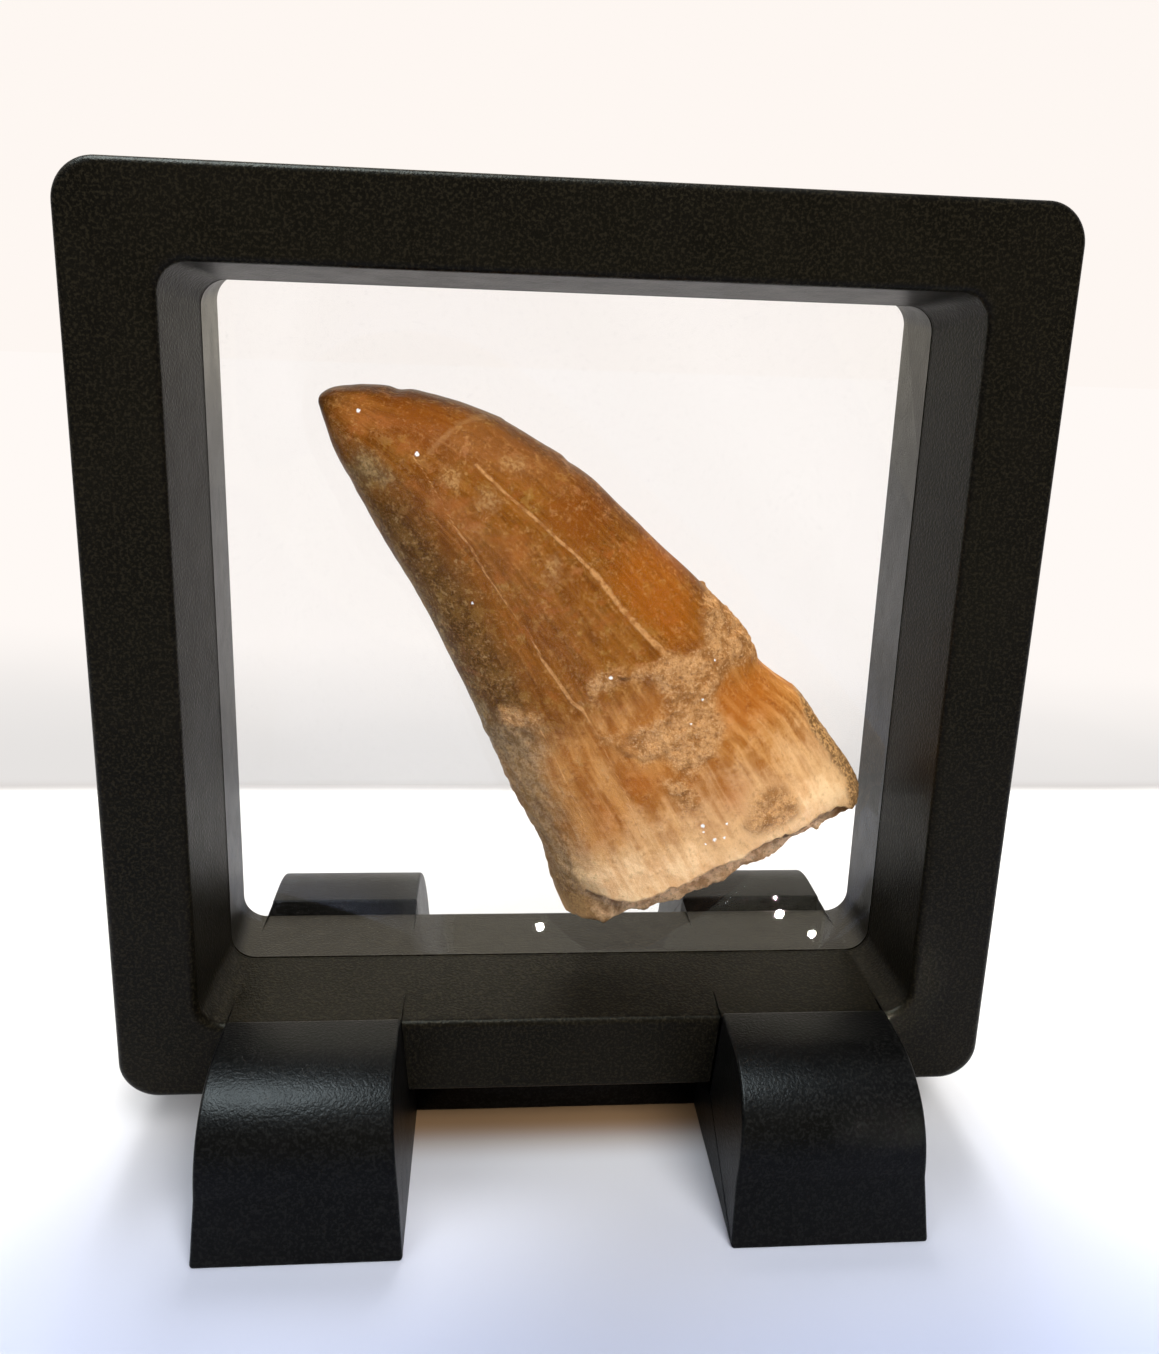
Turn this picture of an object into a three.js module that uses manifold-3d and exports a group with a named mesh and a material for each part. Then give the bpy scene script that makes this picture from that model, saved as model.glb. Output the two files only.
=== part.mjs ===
// Fossil mosasaur tooth held between two clear films in a black frame that stands in a slotted stand.
// Millimetres, +Z up. The front faces -Y. The origin is on the ground, under the middle of the whole thing.
import * as THREE from "three";
import { mergeVertices } from "three/addons/utils/BufferGeometryUtils.js";
import Module from "manifold-3d";

// Driving dimensions of the frame, which is two equal halves that meet in its middle plane.
const frameSide = 90;
const frameDepth = 22.6;
const bezel = 8.2;
const outerCorner = 3.8;
const innerCorner = 2.7;
const wallDraft = 0.9;
const faceFillet = 0.7;
const partingChamfer = 0.25;

// Driving dimensions of the stand. The frame leans on the front wall of a slot that is a little wider.
const standHalfDepth = 27.8;
const legTop = 15;
const legInnerTop = 16.6;
const legInnerFoot = 15.3;
const legOuterTop = 34;
const legOuterFoot = 34.4;
const shoulderStart = 16;
const shoulderReach = 10;
const shoulderDrop = 9.2;
const shoulderPower = 2.4;
const slotHalfWidth = 12.2;
const slotFloor = 5.7;
const bridgeHalfDepth = 7.3;
const legFillet = 0.5;

// Places that follow from them.
const gap = 0.3;
const frameLift = slotFloor + gap;
const frameY = -slotHalfWidth + gap + frameDepth / 2;
const halfSide = frameSide / 2;

// The films sit just inside the middle plane, clear of the walls of the window.
const filmThickness = 0.3;
const filmRest = 0.35;
const filmHalf = halfSide - bezel - wallDraft - gap;
const filmCells = 22;

// The tooth: its two edges as seen from the front, from the tip to the broken end, in the frame's own
// plane. The first number runs to the right of the frame's middle, the second up from its lower side.
const upperEdge = [
  [-24.8, 69.9], [-22, 71.5], [-17, 71.3], [-11.4, 70.2], [-4.1, 66.6], [2.4, 62.6],
  [9.8, 56.2], [16, 50.4], [20.4, 45], [25.3, 40.7], [30.4, 34.3], [33, 29.3],
];
const lowerEdge = [
  [-24.8, 69.9], [-24.4, 68.7], [-23.5, 65.3], [-20.6, 59.6], [-16.7, 53], [-12.9, 45.7],
  [-8.9, 37.2], [-4.6, 27.7], [-2.1, 23], [0.4, 15.6],
];
const crownThickness = 14.5;
const rootThickness = 17.5;
const rootReach = 4.6;
const breakSlant = 2.2;
const sectionPower = 0.92;
const tipShare = 0.32;
const tipStart = 0.012;
const collarAt = 0.62;
const collarWidth = 0.035;
const crustHeight = 0.6;
const ripple = 0.12;
const toothStations = 36;
const toothSides = 36;

// Repeatable values between -1 and 1 for whole-number places.
function hash(i, j, k) {
  const s = Math.sin(i * 127.1 + j * 311.7 + k * 74.7) * 43758.5453;
  return 2 * (s - Math.floor(s)) - 1;
}

// Smooth noise over a plane, from the hashed values at the corners of each unit cell.
function noise(u, v, layer) {
  const i = Math.floor(u);
  const j = Math.floor(v);
  const a = THREE.MathUtils.smoothstep(u - i, 0, 1);
  const b = THREE.MathUtils.smoothstep(v - j, 0, 1);
  const low = THREE.MathUtils.lerp(hash(i, j, layer), hash(i + 1, j, layer), a);
  const high = THREE.MathUtils.lerp(hash(i, j + 1, layer), hash(i + 1, j + 1, layer), a);
  return THREE.MathUtils.lerp(low, high, b);
}

function mesh(name, geometry, color, roughness) {
  const made = new THREE.Mesh(geometry, new THREE.MeshStandardMaterial({ color, roughness, metalness: 0 }));
  made.name = name;
  return made;
}

// A closed surface through rings of equal point counts. The rings run on into each other, and the first
// and last are joined too unless caps close them with a fan around the given points.
function loft(rings, caps) {
  const count = rings[0].length;
  const points = rings.flat();
  const faces = [];
  const spans = caps ? rings.length - 1 : rings.length;
  for (let r = 0; r < spans; r++) {
    const next = (r + 1) % rings.length;
    for (let k = 0; k < count; k++) {
      const l = (k + 1) % count;
      const a = r * count + k;
      const b = r * count + l;
      const c = next * count + l;
      const d = next * count + k;
      faces.push(a, b, c, a, c, d);
    }
  }
  if (caps) {
    const last = (rings.length - 1) * count;
    points.push(...caps);
    for (let k = 0; k < count; k++) {
      const l = (k + 1) % count;
      faces.push(points.length - 2, l, k, points.length - 1, last + k, last + l);
    }
  }
  const geometry = new THREE.BufferGeometry().setFromPoints(points.map((p) => new THREE.Vector3(...p)));
  geometry.setIndex(faces);
  geometry.computeVertexNormals();
  return geometry;
}

// A square with round corners in the XZ plane, as points that run counterclockwise seen from the front.
function roundSquare(half, radius, steps) {
  const points = [];
  for (let corner = 0; corner < 4; corner++) {
    for (let s = 0; s <= steps; s++) {
      const angle = ((corner + s / steps) * Math.PI) / 2;
      const quarter = ((corner + 0.5) * Math.PI) / 2;
      const centreX = Math.sign(Math.cos(quarter)) * (half - radius);
      const centreZ = Math.sign(Math.sin(quarter)) * (half - radius);
      points.push([centreX + radius * Math.cos(angle), centreZ + radius * Math.sin(angle)]);
    }
  }
  return points;
}

// One half of the frame, front half for side -1: the section of its rail, as the inset from the outer
// side and the distance from the middle plane, carried round the square.
function frameHalf(side) {
  const half = frameDepth / 2;
  const inner = bezel + (wallDraft * (faceFillet - gap / 2)) / (half - gap / 2);
  const section = [
    [partingChamfer, gap / 2],
    [0, gap / 2 + partingChamfer],
    [0, half - faceFillet],
    [faceFillet * 0.08, half - faceFillet * 0.62],
    [faceFillet * 0.29, half - faceFillet * 0.29],
    [faceFillet * 0.62, half - faceFillet * 0.08],
    [faceFillet, half],
    [bezel - faceFillet, half],
    [bezel - faceFillet * 0.55, half - faceFillet * 0.1],
    [bezel - faceFillet * 0.15, half - faceFillet * 0.4],
    [inner, half - faceFillet],
    [bezel + wallDraft, gap / 2],
  ];
  const rings = section.map(([inset, depth]) => {
    const radius = THREE.MathUtils.lerp(outerCorner, innerCorner, inset / bezel);
    return roundSquare(halfSide - inset, radius, 6).map(([x, z]) => [x, side * depth, z]);
  });
  return loft(side < 0 ? rings : rings.reverse());
}

// An open run of points in the frame's plane as a smooth curve.
function curveOf(points) {
  return new THREE.SplineCurve(points.map(([x, z]) => new THREE.Vector2(x, z)));
}

// How far the broken end reaches past the line between its two corners, at a place across it from 0 at
// the lower corner to 1 at the upper, and from -1 at the front to 1 at the back. The front rim is broken
// off shorter than the rest, the break slants back from it, and a spur hangs near the lower corner.
function brokenEnd(across, depth) {
  const { smoothstep, lerp } = THREE.MathUtils;
  const corners = smoothstep(across, 0, 0.12) * smoothstep(1 - across, 0, 0.12);
  const slant = breakSlant * Math.max(0, -depth);
  const back = rootReach * (1 - 0.6 * smoothstep(across, 0.3, 0.85)) - slant;
  const front = lerp(0.8, -1.4, smoothstep(across, 0.1, 0.5));
  const spur = 0.9 * Math.exp(-(((across - 0.11) / 0.05) ** 2));
  const rough = 0.45 * noise(across * 11, depth * 2.5, 5);
  return corners * (lerp(front, back, smoothstep(depth, -0.8, -0.1)) + spur + rough);
}

// The amount of sandy matrix on the surface, from 0 to 1: a ragged band round the foot of the crown.
function crustAmount(along, angle) {
  const bandAt = collarAt + 0.04 * Math.cos(angle) + 0.02 * noise(angle * 3, 0, 3);
  return Math.exp(-(((along - bandAt) / collarWidth) ** 2));
}

// A point of the tooth: along it from 0 at the tip to 1 at the broken end, and round it by an angle that
// is 0 on the upper edge, a quarter turn on the front and a half turn on the lower edge. A reach below 1
// lies inside the section, for the face of the broken end.
const upperCurve = curveOf(upperEdge);
const lowerCurve = curveOf(lowerEdge);
const breakDirection = new THREE.Vector2(13.7, -32.6).normalize();
function toothPoint(along, angle, reach = 1) {
  const { smoothstep, lerp } = THREE.MathUtils;
  const upper = upperCurve.getPointAt(along);
  const lower = lowerCurve.getPointAt(along);
  const tipRound = Math.sqrt(1 - (1 - Math.min(1, along / tipShare)) ** 2);
  const halfDepth = (lerp(crownThickness, rootThickness, smoothstep(along, 0.45, 1)) / 2) * tipRound;
  const sine = Math.sin(angle);
  const c = reach * Math.cos(angle);
  const s = reach * Math.sign(sine) * Math.abs(sine) ** sectionPower;
  const end = smoothstep(along, 0.8, 1) * brokenEnd((c + 1) / 2, -s);
  const grit = crustAmount(along, angle) * (0.5 + 0.5 * noise(along * 42, angle * 9, 1));
  const relief = (ripple * noise(along * 5, angle * 7, 2) + crustHeight * grit) * Math.abs(s);
  const place = lower.clone().lerp(upper, (c + 1) / 2).addScaledVector(breakDirection, end);
  return [place.x, -(halfDepth * s + Math.sign(s) * relief), place.y];
}

function toothRing(along, reach) {
  const ring = [];
  for (let k = 0; k < toothSides; k++) ring.push(toothPoint(along, (k / toothSides) * 2 * Math.PI, reach));
  return ring;
}

function toothGeometry() {
  const rings = [];
  for (let i = 0; i < toothStations; i++) {
    rings.push(toothRing(tipStart + (1 - tipStart) * (i / (toothStations - 1)) ** 1.15));
  }
  for (const reach of [0.85, 0.65, 0.4]) rings.push(toothRing(1, reach));
  return loft(rings, [toothPoint(0, 0, 0), toothPoint(1, 0, 0)]);
}

// The height of the stretched film over a square grid, in front of the middle plane for side -1. It
// rests on the tooth with a small gap and is drawn tight to the window's edge.
function filmHeights(tooth, side) {
  const size = filmCells + 1;
  const step = (2 * filmHalf) / filmCells;
  const floor = new Float64Array(size * size);
  const position = tooth.getAttribute("position");
  const reach = 1.45;
  for (let p = 0; p < position.count; p++) {
    const u = (position.getX(p) + filmHalf) / step;
    const v = (position.getZ(p) - halfSide + filmHalf) / step;
    const height = side * position.getY(p) + gap + 0.15;
    for (let j = Math.ceil(v - reach); j <= v + reach; j++) {
      for (let i = Math.ceil(u - reach); i <= u + reach; i++) {
        if (i < 1 || j < 1 || i >= filmCells || j >= filmCells) continue;
        floor[j * size + i] = Math.max(floor[j * size + i], height);
      }
    }
  }
  const heights = Float64Array.from(floor, (value) => Math.max(value, filmRest));
  for (let pass = 0; pass < 900; pass++) {
    for (let j = 1; j < filmCells; j++) {
      for (let i = 1; i < filmCells; i++) {
        const k = j * size + i;
        const mean = (heights[k - 1] + heights[k + 1] + heights[k - size] + heights[k + size]) / 4;
        heights[k] = Math.max(floor[k], filmRest, mean);
      }
    }
  }
  return heights;
}

// The film as a thin closed sheet: an inner and an outer grid joined along the four edges. The grid is
// pulled in at the corners so that it follows the window's round corners.
function filmGeometry(tooth, side) {
  const heights = filmHeights(tooth, side);
  const size = filmCells + 1;
  const points = [];
  for (const offset of [0, filmThickness]) {
    for (let j = 0; j < size; j++) {
      for (let i = 0; i < size; i++) {
        const [x, z] = filmPlace((2 * i) / filmCells - 1, (2 * j) / filmCells - 1);
        points.push(new THREE.Vector3(x, side * (heights[j * size + i] + offset), halfSide + z));
      }
    }
  }
  const faces = [];
  const quad = (a, b, c, d) => faces.push(...(side < 0 ? [a, b, c, a, c, d] : [a, c, b, a, d, c]));
  const outer = size * size;
  for (let j = 0; j < filmCells; j++) {
    for (let i = 0; i < filmCells; i++) {
      const k = j * size + i;
      quad(k, k + size, k + size + 1, k + 1);
      quad(outer + k, outer + k + 1, outer + k + size + 1, outer + k + size);
    }
  }
  for (let i = 0; i < filmCells; i++) {
    const top = filmCells * size + i;
    const left = i * size;
    const right = left + filmCells;
    quad(i, i + 1, outer + i + 1, outer + i);
    quad(top + 1, top, outer + top, outer + top + 1);
    quad(left + size, left, outer + left, outer + left + size);
    quad(right, right + size, outer + right + size, outer + right);
  }
  const geometry = new THREE.BufferGeometry().setFromPoints(points);
  geometry.setIndex(faces);
  geometry.computeVertexNormals();
  return geometry;
}

// A grid place from -1 to 1 each way, with the corners drawn in to a round of the window's own radius.
function filmPlace(u, v) {
  const near = THREE.MathUtils.smoothstep(Math.min(Math.abs(u), Math.abs(v)), 0.86, 1);
  const pull = 1 - near * 0.3 * (innerCorner / filmHalf);
  return [u * filmHalf * pull, v * filmHalf * pull];
}

// The outline of a foot from the side: a flat top that rolls over into a front that ends on the ground.
function footOutline() {
  const quarter = [];
  const steps = 9;
  for (let s = 0; s <= steps; s++) {
    const angle = ((s / steps) * Math.PI) / 2;
    const y = shoulderStart + shoulderReach * Math.sin(angle) ** (2 / shoulderPower);
    const z = legTop - shoulderDrop * (1 - Math.cos(angle) ** (2 / shoulderPower));
    quarter.push([y, z]);
  }
  quarter.push([standHalfDepth, 0]);
  const mirrored = quarter.map(([y, z]) => [-y, z]);
  return new THREE.Shape([...quarter.reverse(), ...mirrored].map(([y, z]) => new THREE.Vector2(y, z)));
}

// One foot, on the +X side for side 1, with its two flanks leaning out towards the ground.
function foot(side) {
  const depth = legOuterFoot - legInnerFoot;
  const geometry = new THREE.ExtrudeGeometry(footOutline(), {
    depth: depth - 2 * legFillet,
    bevelSize: legFillet,
    bevelThickness: legFillet,
    bevelOffset: -legFillet,
    bevelSegments: 2,
    steps: 1,
  });
  const position = geometry.getAttribute("position");
  for (let p = 0; p < position.count; p++) {
    const y = position.getX(p);
    const z = position.getY(p);
    const share = (position.getZ(p) + legFillet) / depth;
    const height = z / legTop;
    const inner = THREE.MathUtils.lerp(legInnerFoot, legInnerTop, height);
    const outer = THREE.MathUtils.lerp(legOuterFoot, legOuterTop, height);
    position.setXYZ(p, side * THREE.MathUtils.lerp(inner, outer, share), y, z);
  }
  if (side < 0) flip(geometry);
  return geometry;
}

// Turns each triangle round, for a mirrored geometry.
function flip(geometry) {
  const position = geometry.getAttribute("position");
  const point = new THREE.Vector3();
  const other = new THREE.Vector3();
  for (let p = 0; p < position.count; p += 3) {
    point.fromBufferAttribute(position, p + 1);
    other.fromBufferAttribute(position, p + 2);
    position.setXYZ(p + 1, other.x, other.y, other.z);
    position.setXYZ(p + 2, point.x, point.y, point.z);
  }
}

const wasm = await Module();
wasm.setup();

function solid(geometry) {
  const bare = geometry.clone();
  bare.deleteAttribute("normal");
  bare.deleteAttribute("uv");
  const merged = mergeVertices(bare, 1e-4);
  return new wasm.Manifold(
    new wasm.Mesh({
      numProp: 3,
      vertProperties: merged.getAttribute("position").array,
      triVerts: new Uint32Array(merged.index.array),
    }),
  );
}

function geometryOf(body) {
  const { numProp, vertProperties, triVerts } = body.getMesh();
  const points = [];
  for (let v = 0; v < vertProperties.length; v += numProp) {
    points.push(new THREE.Vector3(vertProperties[v], vertProperties[v + 1], vertProperties[v + 2]));
  }
  const geometry = new THREE.BufferGeometry().setFromPoints(points);
  geometry.setIndex(Array.from(triVerts));
  const shaded = geometry.toNonIndexed();
  shaded.computeVertexNormals();
  return shaded;
}

function box(width, depth, height, x, y, z) {
  return solid(new THREE.BoxGeometry(width, depth, height).translate(x, y, z));
}

function standGeometry() {
  const slotHeight = legTop - slotFloor + 2;
  const slot = box(2 * legOuterFoot + 4, 2 * slotHalfWidth, slotHeight, 0, 0, slotFloor + slotHeight / 2);
  const bridge = box(2 * legInnerTop + 4, 2 * bridgeHalfDepth, slotFloor, 0, 0, slotFloor / 2);
  return geometryOf(solid(foot(1)).add(solid(foot(-1))).add(bridge).subtract(slot));
}

// The frame and what it holds are built about the frame's lower side, and then set in the stand.
const framed = new THREE.Group();
framed.position.set(0, frameY, frameLift);
const halves = new THREE.Group();
halves.position.z = halfSide;
halves.add(mesh("frame_front", frameHalf(-1), 0x17181a, 0.5));
halves.add(mesh("frame_rear", frameHalf(1), 0x17181a, 0.5));
const tooth = toothGeometry();
framed.add(halves);
framed.add(mesh("tooth", tooth, 0xa0672c, 0.42));
framed.add(mesh("film_front", filmGeometry(tooth, -1), 0xf4f4f0, 0.08));
framed.add(mesh("film_rear", filmGeometry(tooth, 1), 0xf4f4f0, 0.08));

const root = new THREE.Group();
root.add(framed);
root.add(mesh("stand", standGeometry(), 0x15171a, 0.48));

export default root;
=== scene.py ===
import math

import bpy
import numpy as np
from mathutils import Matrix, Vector


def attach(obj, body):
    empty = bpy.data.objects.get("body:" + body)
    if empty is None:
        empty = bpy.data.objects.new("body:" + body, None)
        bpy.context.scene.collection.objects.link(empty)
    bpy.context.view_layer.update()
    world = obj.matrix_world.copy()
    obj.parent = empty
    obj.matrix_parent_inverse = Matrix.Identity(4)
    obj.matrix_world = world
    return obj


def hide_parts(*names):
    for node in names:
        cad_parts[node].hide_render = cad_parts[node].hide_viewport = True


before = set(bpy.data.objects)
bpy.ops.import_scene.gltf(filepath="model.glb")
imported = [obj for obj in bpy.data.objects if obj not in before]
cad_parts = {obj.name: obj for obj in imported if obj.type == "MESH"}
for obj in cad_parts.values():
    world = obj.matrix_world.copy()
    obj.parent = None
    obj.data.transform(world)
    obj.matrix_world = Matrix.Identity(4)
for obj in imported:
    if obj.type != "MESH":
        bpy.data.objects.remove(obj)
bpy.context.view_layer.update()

print("the packed tooth, films, frame and stand are in")

# Lengths below are in millimetres, and meshes are scaled to metres when they are made.
# The frame stands this far back and this far above the ground.
metres = 0.001
frameSet = {"back": -0.6, "lift": 6.0}

# The camera stands a little to the left of the middle and looks down on the frame.
view = {
    "place": (-0.00810721, -0.11284186, 0.08256139),
    "turn": (75.812948, -1.965248, -4.695203),
    "lens": 29.516335,
    "shift": (-0.0058826, -0.0421105),
}
lens = bpy.data.cameras.new("tableCamera")
lens.sensor_width = 36
lens.lens = view["lens"]
lens.shift_x, lens.shift_y = view["shift"]
lens.clip_start = 0.005
camera = bpy.data.objects.new("tableCamera", lens)
camera.location = view["place"]
camera.rotation_euler = [math.radians(a) for a in view["turn"]]
bpy.context.collection.objects.link(camera)
bpy.context.scene.camera = camera
bpy.context.scene.view_settings.view_transform = "Standard"


# Turns a colour as read on a screen, 0 to 255, into the linear one that the shaders take.
def paint(red, green, blue):
    parts = np.array([red, green, blue]) / 255
    linear = np.where(parts < 0.04045, parts / 12.92, ((parts + 0.055) / 1.055) ** 2.4)
    return (*linear.tolist(), 1.0)


# A socket wrapped so that shader maths reads as sums: each operator adds one Math node.
class Value:
    def __init__(self, finish, socket):
        self.finish = finish
        self.socket = socket

    def math(self, operation, *others):
        inputs = dict(enumerate((self, *others)))
        return self.finish.node("ShaderNodeMath", {"operation": operation}, inputs)

    def __add__(self, other):
        return self.math("ADD", other)

    def __sub__(self, other):
        return self.math("SUBTRACT", other)

    def __mul__(self, other):
        return self.math("MULTIPLY", other)

    def __rsub__(self, other):
        return (self * -1.0) + other

    __radd__ = __add__

    def least(self, other):
        return self.math("MINIMUM", other)

    # 0 below low, 1 above high and a soft step between them.
    def step(self, low, high):
        settings = {"interpolation_type": "SMOOTHSTEP"}
        return self.finish.node("ShaderNodeMapRange", settings, {0: self, 1: low, 2: high})


# One finish: a material and the few kinds of node that it is built from.
class Finish:
    def __init__(self, kept):
        kept.use_nodes = True
        self.kept = kept
        self.tree = kept.node_tree
        self.tree.nodes.clear()

    # Makes a node, sets its settings first and then its inputs, and gives one of its outputs.
    def node(self, kind, settings=None, inputs=None, output=0):
        made = self.tree.nodes.new(kind)
        for name, value in (settings or {}).items():
            setattr(made, name, value)
        for name, value in (inputs or {}).items():
            if isinstance(value, Value):
                self.tree.links.new(value.socket, made.inputs[name])
            else:
                made.inputs[name].default_value = value
        return Value(self, made.outputs[output]) if made.outputs else None

    # The place on the piece in millimetres, stretched by three factors.
    def place(self, stretch=(1, 1, 1)):
        coordinates = self.node("ShaderNodeTexCoord", output="Object")
        scale = [s / metres for s in stretch]
        return self.node("ShaderNodeMapping", {}, {"Vector": coordinates, "Scale": scale})

    # One of the three parts of a place.
    def part(self, place, number):
        return self.node("ShaderNodeSeparateXYZ", {}, {0: place}, number)

    # A number or a place that the mesh keeps at each of its points.
    def field(self, name, output="Fac"):
        return self.node("ShaderNodeAttribute", {"attribute_name": name}, output=output)

    def noise(self, place, scale, detail, roughness=0.55):
        inputs = {"Vector": place, "Scale": scale, "Detail": detail, "Roughness": roughness}
        return self.node("ShaderNodeTexNoise", {}, inputs)

    def cells(self, place, scale):
        return self.node("ShaderNodeTexVoronoi", {}, {"Vector": place, "Scale": scale})

    def mix(self, share, first, second, kind="MIX"):
        settings = {"data_type": "RGBA", "blend_type": kind}
        return self.node("ShaderNodeMix", settings, {0: share, 6: first, 7: second}, 2)

    # Two tones, the second where this height passes from low to high.
    def tones(self, height, low, high, first, second):
        return self.mix(height.step(low, high), first, second)

    def bump(self, height, distance):
        return self.node("ShaderNodeBump", {}, {"Height": height, "Distance": distance * metres})

    def close(self, shader):
        self.node("ShaderNodeOutputMaterial", {}, {"Surface": shader})
        return self.kept


def finishNamed(name):
    return Finish(bpy.data.materials.new(name))


# Puts points in millimetres and faces of equal corner counts into one mesh object.
def makePiece(name, points, faceSets, finish, fields=None):
    mesh = bpy.data.meshes.new(name)
    corners = np.concatenate([np.asarray(f, np.int32).ravel() for f in faceSets])
    counts = np.concatenate([np.full(len(f), np.shape(f)[1], np.int32) for f in faceSets])
    mesh.vertices.add(len(points))
    mesh.vertices.foreach_set("co", (np.asarray(points, np.float64) * metres).ravel())
    mesh.loops.add(len(corners))
    mesh.loops.foreach_set("vertex_index", corners)
    mesh.polygons.add(len(counts))
    starts = np.concatenate([[0], np.cumsum(counts)[:-1]]).astype(np.int32)
    mesh.polygons.foreach_set("loop_start", starts)
    mesh.update(calc_edges=True)
    mesh.validate()
    mesh.polygons.foreach_set("use_smooth", np.full(len(counts), True))
    for field, values in (fields or {}).items():
        kind = "FLOAT" if np.ndim(values) == 1 else "FLOAT_VECTOR"
        kept = mesh.attributes.new(field, kind, "POINT")
        values = np.asarray(values, np.float32).ravel()
        kept.data.foreach_set("value" if kind == "FLOAT" else "vector", values)
    mesh.materials.append(finish)
    piece = bpy.data.objects.new(name, mesh)
    bpy.context.collection.objects.link(piece)
    return piece


# Four-cornered faces between the rows and columns of a grid of points. Either way may run round.
def gridFaces(rows, columns, roundRows=False, roundColumns=False, start=0, turned=False):
    row = np.arange(rows if roundRows else rows - 1)[:, None]
    column = np.arange(columns if roundColumns else columns - 1)[None, :]
    nextRow = (row + 1) % rows
    nextColumn = (column + 1) % columns
    corners = [row * columns + column, row * columns + nextColumn]
    corners += [nextRow * columns + nextColumn, nextRow * columns + column]
    faces = np.stack([np.broadcast_to(c, (row.size, column.size)) for c in corners], axis=-1)
    faces = faces.reshape(-1, 4) + start
    return faces[:, ::-1] if turned else faces


def softStep(x, low, high):
    t = np.clip((x - low) / (high - low), 0, 1)
    return t * t * (3 - 2 * t)


def between(low, high, share):
    return low + (high - low) * share


# Smooth noise in space from -1 to 1: hashed values at whole places, eased between them.
def grain(places, layer=0.0):
    base = np.floor(places)
    part = places - base
    part = part * part * (3 - 2 * part)

    def hashed(dx, dy, dz):
        s = (base[..., 0] + dx) * 127.1 + (base[..., 1] + dy) * 311.7
        s = np.sin(s + (base[..., 2] + dz) * 74.7 + layer * 191.3) * 43758.5453
        return 2 * (s - np.floor(s)) - 1

    def line(dy, dz):
        return between(hashed(0, dy, dz), hashed(1, dy, dz), part[..., 0])

    low = between(line(0, 0), line(1, 0), part[..., 1])
    high = between(line(0, 1), line(1, 1), part[..., 1])
    return between(low, high, part[..., 2])


# Noise with finer and weaker copies of itself added.
def roughGrain(places, layer=0.0, copies=3):
    total = 0
    for n in range(copies):
        total = total + grain(places * 2.03**n, layer + n) * 0.5**n
    return total


# A Catmull-Rom curve through points, read at shares of its length.
def curveThrough(points, shares):
    p = np.asarray(points, float)
    p = np.vstack([2 * p[0] - p[1], p, 2 * p[-1] - p[-2]])
    t = np.linspace(0, len(p) - 3, 2400)
    i = np.minimum(t.astype(int), len(p) - 4)
    f = (t - i)[:, None]
    a, b, c, d = p[i], p[i + 1], p[i + 2], p[i + 3]
    dense = b + 0.5 * f * (c - a + f * (2 * a - 5 * b + 4 * c - d + f * (3 * b - a - 3 * c + d)))
    run = np.concatenate([[0], np.cumsum(np.linalg.norm(np.diff(dense, axis=0), axis=1))])
    return np.stack([np.interp(shares * run[-1], run, dense[:, k]) for k in range(2)], axis=-1)


# Satin black plastic: a fine moulded grain, pale grains in it, broad clouds and faint rubbing.
def moulded(name, colour, roughness, speck, tint):
    f = finishNamed(name)
    place = f.place()
    cloud = f.noise(place, 0.09, 2)
    fine = f.noise(place, 3.2, 1, 0.75)
    pits = f.cells(place, 3.4)
    shade = f.mix(cloud.step(0.35, 0.65), colour, [c * 1.7 for c in colour[:3]] + [1])
    shade = f.mix(fine.step(0.46, 0.66) * 0.8, shade, speck)
    shade = f.mix((1 - pits.step(0.1, 0.24)) * 0.3, shade, [c * 1.6 for c in speck[:3]] + [1])
    rubbed = f.noise(place, 0.35, 3, 0.6)
    return f.close(f.node("ShaderNodeBsdfPrincipled", {}, {
        "Base Color": shade,
        "Roughness": roughness + rubbed * 0.16 - 0.08 + fine * 0.08,
        "Specular IOR Level": 0.09,
        "Specular Tint": tint,
        "Normal": f.bump(fine, 0.045),
    }))


# Painted reflection: the frame's warm specular tint warms everything it mirrors, standing in for warm
# room light.
frameBlack = moulded("satinFrameBlack", paint(7, 6, 4), 0.33, paint(34, 30, 21), (1, 0.92, 0.74, 1))
standBlack = moulded("satinStandBlack", paint(3, 3, 3), 0.33, paint(21, 21, 20), (1, 1, 0.98, 1))

# The frame has two equal halves that meet in the middle plane.
rail = {
    "side": 90.0, "depth": 22.6, "bezel": 8.2, "outerCorner": 3.8, "innerCorner": 2.7,
    "draft": 0.9, "fillet": 0.7, "chamfer": 0.25, "gap": 0.3, "hold": 0.06,
    "cornerSteps": 18, "filletSteps": 7,
}


# The round square at each inset: quarter turns about the corner centres and straight runs between,
# place = sign of corner * (half - inset - radius) + radius * (cos, sin).
def roundSquare(half, radius, steps):
    turns = (np.arange(4)[:, None] + np.linspace(0, 1, steps + 1)[None, :]) * math.pi / 2
    middle = (np.arange(4)[:, None] + 0.5) * math.pi / 2
    reach = (half - radius)[:, None, None]
    x = np.sign(np.cos(middle)) * reach + radius[:, None, None] * np.cos(turns)
    z = np.sign(np.sin(middle)) * reach + radius[:, None, None] * np.sin(turns)
    ring = np.stack([x, z], axis=-1)
    along = np.linspace(0, 1, 6)[1:-1][None, None, :, None]
    last = ring[:, :, -1][:, :, None]
    following = np.roll(ring, -1, axis=1)[:, :, 0][:, :, None]
    straight = between(last, following, along)
    return np.concatenate([ring, straight], axis=2).reshape(len(half), -1, 2)


# A quarter round from one direction to the next, as inset and depth.
def quarterRound(centre, radius, start, steps):
    turn = start + np.linspace(0, math.pi / 2, steps + 1)
    return np.stack([centre[0] + radius * np.cos(turn), centre[1] + radius * np.sin(turn)], axis=-1)


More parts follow.
